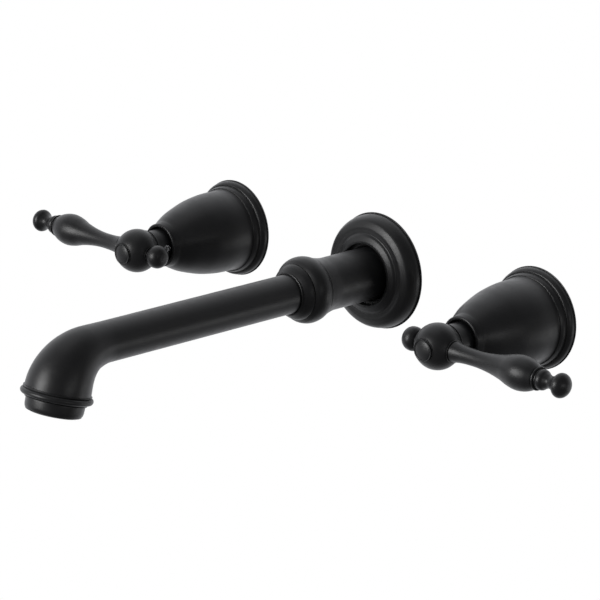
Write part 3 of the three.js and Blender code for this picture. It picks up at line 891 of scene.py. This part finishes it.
def cross_pipes(cross):
    for name, side in SIDES.items():
        low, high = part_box(name + "_cross_tube")
        start, end = sorted(abs(v) / MM for v in (low.x, high.x))
        bore, wall, collar = 6.6, 8, 9.9
        outline = [(bore, start, 0.3), (wall, start, 0.4), (wall, end - 5.6), (8.3, end - 4.6),
                   (collar, end - 4.2, 0.4), (collar, end, 0.4), (bore, end, 0.4)]
        pipe = put(turned(name + "_cross_pipe", outline), 0, cross, 0, along_x(side))
        stand_for(pipe, name + "_cross_tube")
        low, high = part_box(name + "_union_nut")
        ends = sorted(abs(v) / MM for v in (low.x, high.x))
        nut(name + "_union_hexagon", name + "_union_nut", 13.42, (8.4, ends[0] + 6.1, 10.5), ends,
            chamfer=2.2, y=cross, turn=along_x(side))


def mounting_strap():
    low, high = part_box("mounting_strap")
    size = high - low
    corner, steps = 4 * MM, 8
    work = bmesh.new()
    points = []
    for sx, sz, start in ((1, 1, 0), (-1, 1, 90), (-1, -1, 180), (1, -1, 270)):
        for i in range(steps + 1):
            a = math.radians(start + 90 * i / steps)
            points.append((sx * (size.x / 2 - corner) + corner * math.cos(a),
                           low.y, sz * (size.z / 2 - corner) + corner * math.sin(a)))
    face = work.faces.new([work.verts.new(p) for p in points])
    raised = bmesh.ops.extrude_face_region(work, geom=[face])["geom"]
    bmesh.ops.translate(work, vec=(0, size.y, 0),
                        verts=[v for v in raised if isinstance(v, bmesh.types.BMVert)])
    mesh = bpy.data.meshes.new("mounting_strap_pressed")
    work.to_mesh(mesh)
    work.free()
    strap = bpy.data.objects.new("mounting_strap_pressed", mesh)
    bpy.context.scene.collection.objects.link(strap)
    tidy_mesh(strap)
    back, front = -high.y / MM, -low.y / MM
    tools = []
    for x in (-155, -60, 60, 155):
        rim, wall = 3.9, 3
        hole = turned("hole", [(0, back - 1), (rim, back - 1), (rim, back), (wall, back + 0.5),
                               (wall, front - 0.5), (rim, front), (rim, front + 1), (0, front + 1)])
        tools.append(put(hole, x * MM))
    for x, z in screw_places():
        sink = turned("sink", [(0, back - 1), (6.2, back - 1), (2.6, back + 2.6),
                               (2.6, front + 1), (0, front + 1)])
        tools.append(put(sink, x, 0, z))
    carve(strap, *tools)
    edge = strap.modifiers.new("edge", "BEVEL")
    edge.width = 0.35 * MM
    edge.segments = 3
    edge.angle_limit = math.radians(50)
    apply_modifiers(strap)
    stand_for(strap, "mounting_strap")


def screw_places():
    centres = []
    for i in range(1, 5):
        low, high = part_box(f"strap_screw_{i}")
        centres.append(((low.x + high.x) / 2, (low.z + high.z) / 2))
    return centres


def strap_screws():
    """Countersunk screws with hexagon sockets, flush with the back of the strap."""
    socket, shank = 2.19, 2.2
    for i, (x, z) in enumerate(screw_places(), 1):
        node = f"strap_screw_{i}"
        _, back, tip = extent(node)
        limit = hexagon(1.9)
        grooves = thread(back + 3, tip - 0.6, 0.3, 0.8)

        def shape(angle, radius, out):
            if radius < 2.3 and out < back + 1.6:
                return limit(angle, radius, out)
            return grooves(angle, radius, out)

        outline = [(0, back + 1.5), (socket, back + 1.5), (socket, back, 0.1), (4.6, back, 0.15),
                   (shank, back + 2.4), *stretch(shank, back + 2.6, tip - 0.5, 0.15),
                   (1.7, tip), (0, tip)]
        stand_for(put(turned(node + "_countersunk", outline, shape, 60), x, 0, z), node)


# ---- Spout ----------------------------------------------------------------------------------
BEND_START = 219.8  # the tube is straight up to here
EASE_RADIUS, EASE_ANGLE = 72, math.radians(10.6)  # a gentle first bend leads into the elbow
BEND_RADIUS, BEND_ANGLE = 27.7, math.radians(64.4)
BEND_LENGTH = EASE_RADIUS * EASE_ANGLE + BEND_RADIUS * BEND_ANGLE
TUBE, OUTLET = 11.85, 18.9  # radii
WALL = 2.2


def spout_line(distance):
    """Distance out, drop and turn of the spout's centre line at a distance along it."""
    past = max(distance - BEND_START, 0)
    ease = min(past, EASE_RADIUS * EASE_ANGLE) / EASE_RADIUS
    angle = ease + max(past - EASE_RADIUS * EASE_ANGLE, 0) / BEND_RADIUS
    out = (min(distance, BEND_START) + EASE_RADIUS * math.sin(ease)
           + BEND_RADIUS * (math.sin(angle) - math.sin(ease)))
    drop = EASE_RADIUS * (1 - math.cos(ease)) + BEND_RADIUS * (math.cos(ease) - math.cos(angle))
    return out, drop, angle


def spout_radius(distance):
    share = min(max((distance - BEND_START) / BEND_LENGTH, 0), 1)
    return TUBE + (OUTLET - TUBE) * share * share * (3 - 2 * share)


def spout_tube():
    _, back, _ = extent("spout_tube")
    steps = 48
    stations = [back + 0.5] + [back + (BEND_START - back) * i / 24 for i in range(1, 24)]
    stations += [BEND_START + BEND_LENGTH * i / steps for i in range(steps)]
    end = BEND_START + BEND_LENGTH
    outside = [(spout_radius(s), s) for s in stations] + [(OUTLET, end, 0.3)]
    inside = [(OUTLET - WALL, end, 0.3)]
    inside += [(spout_radius(s) - WALL, s) for s in reversed(stations)]
    lead = [(TUBE - WALL, back, 0.2), (TUBE - 0.4, back, 0.2)]
    piece = turned("spout_tube_bent", outside + inside + lead)
    for vertex in piece.data.vertices:
        out, drop, angle = spout_line(-vertex.co.y / MM)
        height = vertex.co.z
        vertex.co.y = -out * MM - height * math.sin(angle)
        vertex.co.z = -drop * MM + height * math.cos(angle)
    tidy_mesh(piece)
    stand_for(piece, "spout_tube")


def spout_flange():
    back = extent("spout_flange")[1]
    hole, seat, groove, skirt, rim = 19.4, 17.6, 19.3, 31.4, 35.2
    face = spline([(rim, 1.2), (rim, 2.2), (35.1, 3.6), (34.6, 5.8), (33.75, 7.8), (32.6, 9.2),
                   (31.2, 10), (29.7, 10.6), (28.5, 10.9), (27.2, 10.8), (25.9, 10.85),
                   (25.1, 10.8), (24.5, 11.15), (23.6, 11.95), (22.2, 12.55), (20.9, 13.05),
                   (20.3, 13.15)], 6)
    inside = [(hole, 12.9, 0.5), (hole, 9, 0.4), (seat, 8.8, 0.3), (seat, 7, 0.2),
              (groove, 7, 0.2), (groove, 2.7, 0.2), (seat, 2.7, 0.2), (seat, back, 0.3),
              (21.5, back, 0.3), (21.5, 6.5, 1), (29, 6.5, 1.5), (skirt, 3, 1), (skirt, back, 0.2),
              (rim, back, 0.15)]
    piece = turned("spout_flange_spun", face + inside, segments=160)
    stand_for(piece, "spout_flange")


def flange_ring():
    radius, back, front = extent("flange_o_ring")
    inner = 16.45
    middle, half = (radius + inner) / 2, (radius - inner) / 2
    steps = 20
    section = []
    for i in range(steps):
        a = math.tau * i / steps
        out = (back + front) / 2 + (front - back) / 2 * math.cos(a)
        section.append((middle + half * math.sin(a), out))
    stand_for(turned("flange_ring_round", section), "flange_o_ring")


def spout_shank():
    _, back, lip = extent("spout_shank")
    flare = spline([(16.1, 44), (16.3, 47.5), (17.2, 52.5), (18.3, 56.6)], 6)
    bulb = spline([(19.2, 58.8), (19.8, 60.5), (20.2, 63.2), (20, 66), (19, 68.8),
                   (17.4, 70.4)], 6)
    nose = spline([(16.9, 71.4), (16.6, 72.4), (15.6, 74.1), (14, 75.7), (12.8, lip - 0.3)], 5)
    socket, bore, thread_bore = TUBE + 0.22, 8, 10.7
    inside = [(socket, lip, 0.15), (socket, 48.2, 0.2), (bore, 48.2, 0.3), (bore, 34, 0.3),
              (thread_bore, 34, 0.3), (thread_bore, back, 0.4)]
    outline = [(16.1, back, 0.4)] + flare + [(18.7, 58, 0.8)] + bulb
    outline += [(16.7, 70.9, 0.25)] + nose + [(12.5, lip, 0.2)] + inside
    stand_for(turned("spout_shank_turned", outline), "spout_shank")


def at_outlet(piece):
    """Moves a piece from the wall to the end of the bent spout."""
    out, drop, angle = spout_line(BEND_START + BEND_LENGTH)
    return put(piece, 0, -out * MM, -drop * MM, Matrix.Rotation(angle, 4, "X"))


def outlet():
    """The beaded collar that plugs into the spout, and the washer in it."""
    plug, recess, bore, seat = 15.4, 17.4, 11.6, 13.4
    bead = arc((OUTLET, 2.5), 1.85, 158, 10, 16)
    top = [(plug, -5, 0.4), (plug, GAP, 0.1), (recess, GAP, 0.1), (recess, 1, 0.2)]
    skirt = [(16.4, 4.6, 0.2), (16.5, 5.2, 0.2), (16.9, 5.5, 0.2), (16.8, 9.5), (16.5, 11.2),
             (15.6, 12.4, 0.8), (14, 12.4, 0.4)]
    inside = [(seat, 11.6, 0.2), (seat, 2.6, 0.1), (bore, 2.6, 0.1), (bore, -5, 0.3)]
    outline = top + bead + skirt + inside
    stand_for(at_outlet(turned("outlet_collar_turned", outline)), "outlet_collar")
    washer = [(10.8, 2.9, 0.3), (13.1, 2.9, 0.3), (13.1, 4.5, 0.3), (10.8, 4.5, 0.3)]
    stand_for(at_outlet(turned("outlet_washer_flat", washer)), "outlet_washer")


def flow_straightener():
    """A moulded honeycomb that calms the stream."""
    disc = turned("flow_straightener_honeycomb",
                  [(0, 4.8), (13, 4.8, 0.3), (13, 10.6, 0.4), (0, 10.6)], segments=96)
    pitch, cell_radius, reach = 3.6, 1.75, 10.6
    cells = []
    for row in range(-3, 4):
        for column in range(-3, 4):
            x, z = pitch * (column + 0.5 * (row % 2)), pitch * row * math.sqrt(0.75)
            if math.hypot(x, z) < reach:
                cell = bar("cell", cell_radius, 4, 12, 6)
                cells.append(put(cell, x * MM, 0, z * MM))
    stand_for(at_outlet(carve(disc, *cells)), "flow_straightener")


# ---- Making everything ----------------------------------------------------------------------
make_camera()
make_world()
make_stage()
make_lights()
MATERIALS.update(make_materials())
for node, made in frame["nodes"].items():
    made.data.materials.clear()
    made.data.materials.append(MATERIALS[SLOT_OF[node]])

for side_name, side_way in SIDES.items():
    axis_x = AXIS_X[side_name]
    bell(side_name, axis_x)
    sleeve(side_name, axis_x)
    gasket(side_name, axis_x)
    hub(side_name, side_way, axis_x)
    lever(side_name, side_way, axis_x)
    finial(side_name, side_way, axis_x)
    index_button(side_name, axis_x)
    handle_screws(side_name, side_way, axis_x)
    adapter(side_name, axis_x)
    stem(side_name, axis_x)
    rings(side_name, axis_x)
    discs(side_name, axis_x)
    housing(side_name, axis_x)
    bonnet_nut(side_name, axis_x)

valve_bodies()
cross_pipes(center_tee())
nipple()
mounting_strap()
strap_screws()
spout_tube()
spout_flange()
flange_ring()
spout_shank()
outlet()
flow_straightener()
